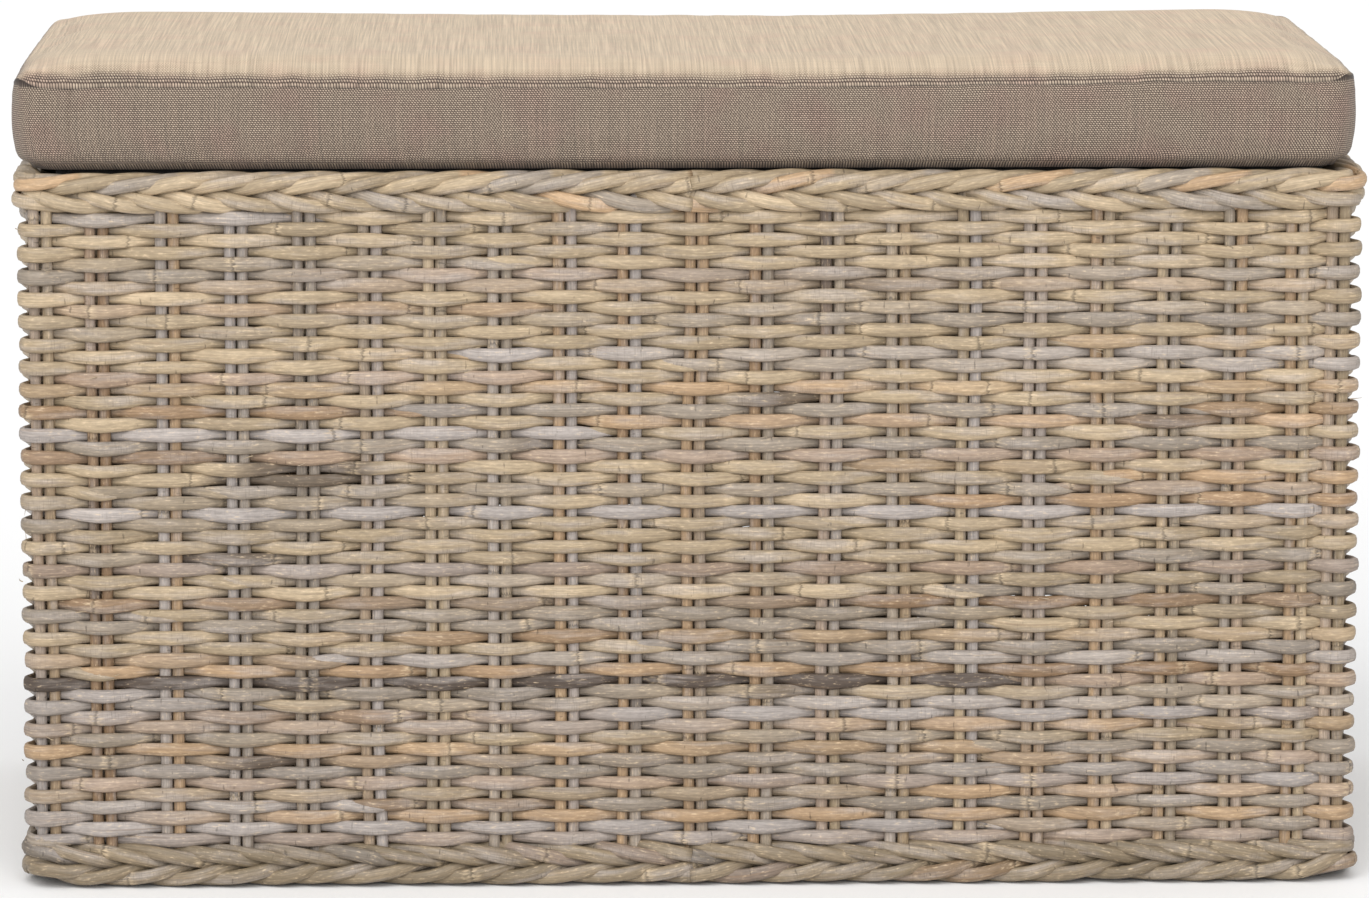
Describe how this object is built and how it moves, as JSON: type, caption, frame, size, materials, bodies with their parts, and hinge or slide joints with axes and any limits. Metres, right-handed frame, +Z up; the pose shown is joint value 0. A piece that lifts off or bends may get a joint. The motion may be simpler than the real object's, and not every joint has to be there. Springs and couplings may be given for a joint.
{
  "type": "storage ottoman",
  "caption": "Rectangular woven rattan storage ottoman with plaited borders, a rear-hinged lid on slotted stays and a removable zipped box cushion as its seat.",
  "frame": {"origin": "on the floor, under the middle of the basket", "axes": "+Z up, +X along the length to the right of someone who faces the front, front faces -Y"},
  "size_m": [0.856, 0.44, 0.5292],
  "materials": {
    "rattan_pole": "matte",
    "rattan_stake": "matte",
    "rattan_weave": "matte",
    "rattan_plait": "matte",
    "timber": "matte",
    "plywood": "matte",
    "glide": "matte",
    "bumper": "matte",
    "zinc_steel": "satin",
    "lid_cloth": "matte",
    "hook_and_loop": "matte",
    "cushion_fabric": "matte",
    "foam": "matte",
    "zip_tape": "matte",
    "zip_metal": "satin"
  },
  "bodies": {
    "basket": {"corner_post_front_left": "rattan_pole", "corner_post_front_right": "rattan_pole", "corner_post_back_left": "rattan_pole", "corner_post_back_right": "rattan_pole", "bottom_rail_front": "timber", "bottom_rail_back": "timber", "bottom_rail_left": "timber", "bottom_rail_right": "timber", "top_rail_front": "timber", "top_rail_back": "timber", "top_rail_left": "timber", "top_rail_right": "timber", "hinge_rail": "timber", "floor_panel": "plywood", "floor_battens": "timber", "floor_glides": "glide", "stakes_front": "rattan_stake", "stakes_back": "rattan_stake", "stakes_left": "rattan_stake", "stakes_right": "rattan_stake", "weave_front": "rattan_weave", "weave_back": "rattan_weave", "weave_left": "rattan_weave", "weave_right": "rattan_weave", "top_border_front": "rattan_plait", "top_border_back": "rattan_plait", "top_border_left": "rattan_plait", "top_border_right": "rattan_plait", "bottom_border_front": "rattan_plait", "bottom_border_back": "rattan_plait", "bottom_border_left": "rattan_plait", "bottom_border_right": "rattan_plait", "hinge_left_body_leaf": "zinc_steel", "hinge_right_body_leaf": "zinc_steel", "hinge_pins": "zinc_steel", "hinge_body_screws": "zinc_steel", "stay_left_body_bracket": "zinc_steel", "stay_right_body_bracket": "zinc_steel", "stay_body_screws": "zinc_steel", "lid_bumpers": "bumper"},
    "lid": {"lid_panel": "plywood", "lid_batten_front": "timber", "lid_batten_back": "timber", "lid_batten_left": "timber", "lid_batten_right": "timber", "lid_cloth": "lid_cloth", "hinge_left_lid_leaf": "zinc_steel", "hinge_right_lid_leaf": "zinc_steel", "hinge_lid_screws": "zinc_steel", "stay_left_lid_bracket": "zinc_steel", "stay_right_lid_bracket": "zinc_steel", "stay_lid_screws": "zinc_steel", "hook_strips": "hook_and_loop"},
    "left_stay": {"stay_left_arm": "zinc_steel"},
    "right_stay": {"stay_right_arm": "zinc_steel"},
    "cushion": {"cushion_cover": "cushion_fabric", "cushion_foam": "foam", "loop_strips": "hook_and_loop", "zip_tape": "zip_tape"},
    "zip_slider": {"zip_slider": "zip_metal"}
  },
  "joints": [
    {"name": "lid_hinge", "type": "hinge", "parent": "basket", "child": "lid", "pos_m": [0, 0.1815, 0.4636], "axis": [-1, 0, 0], "range_deg": [0, 90]},
    {"name": "left_stay_swing", "type": "hinge", "parent": "lid", "child": "left_stay", "pos_m": [-0.3775, 0.03717, 0.42276], "axis": [1, 0, 0], "range_deg": [0, 45]},
    {"name": "right_stay_swing", "type": "hinge", "parent": "lid", "child": "right_stay", "pos_m": [0.3775, 0.03717, 0.42276], "axis": [1, 0, 0], "range_deg": [0, 45]},
    {"name": "cushion_lift", "type": "slide", "parent": "lid", "child": "cushion", "axis": [0, 0, 1], "range_m": [0, 0.1]},
    {"name": "zip_slide", "type": "slide", "parent": "cushion", "child": "zip_slider", "axis": [-1, 0, 0], "range_m": [0, 0.68]}
  ],
  "couplings": [
    {"joint": "left_stay_swing", "follows": "lid_hinge", "ratio": 0.5},
    {"joint": "right_stay_swing", "follows": "lid_hinge", "ratio": 0.5}
  ]
}
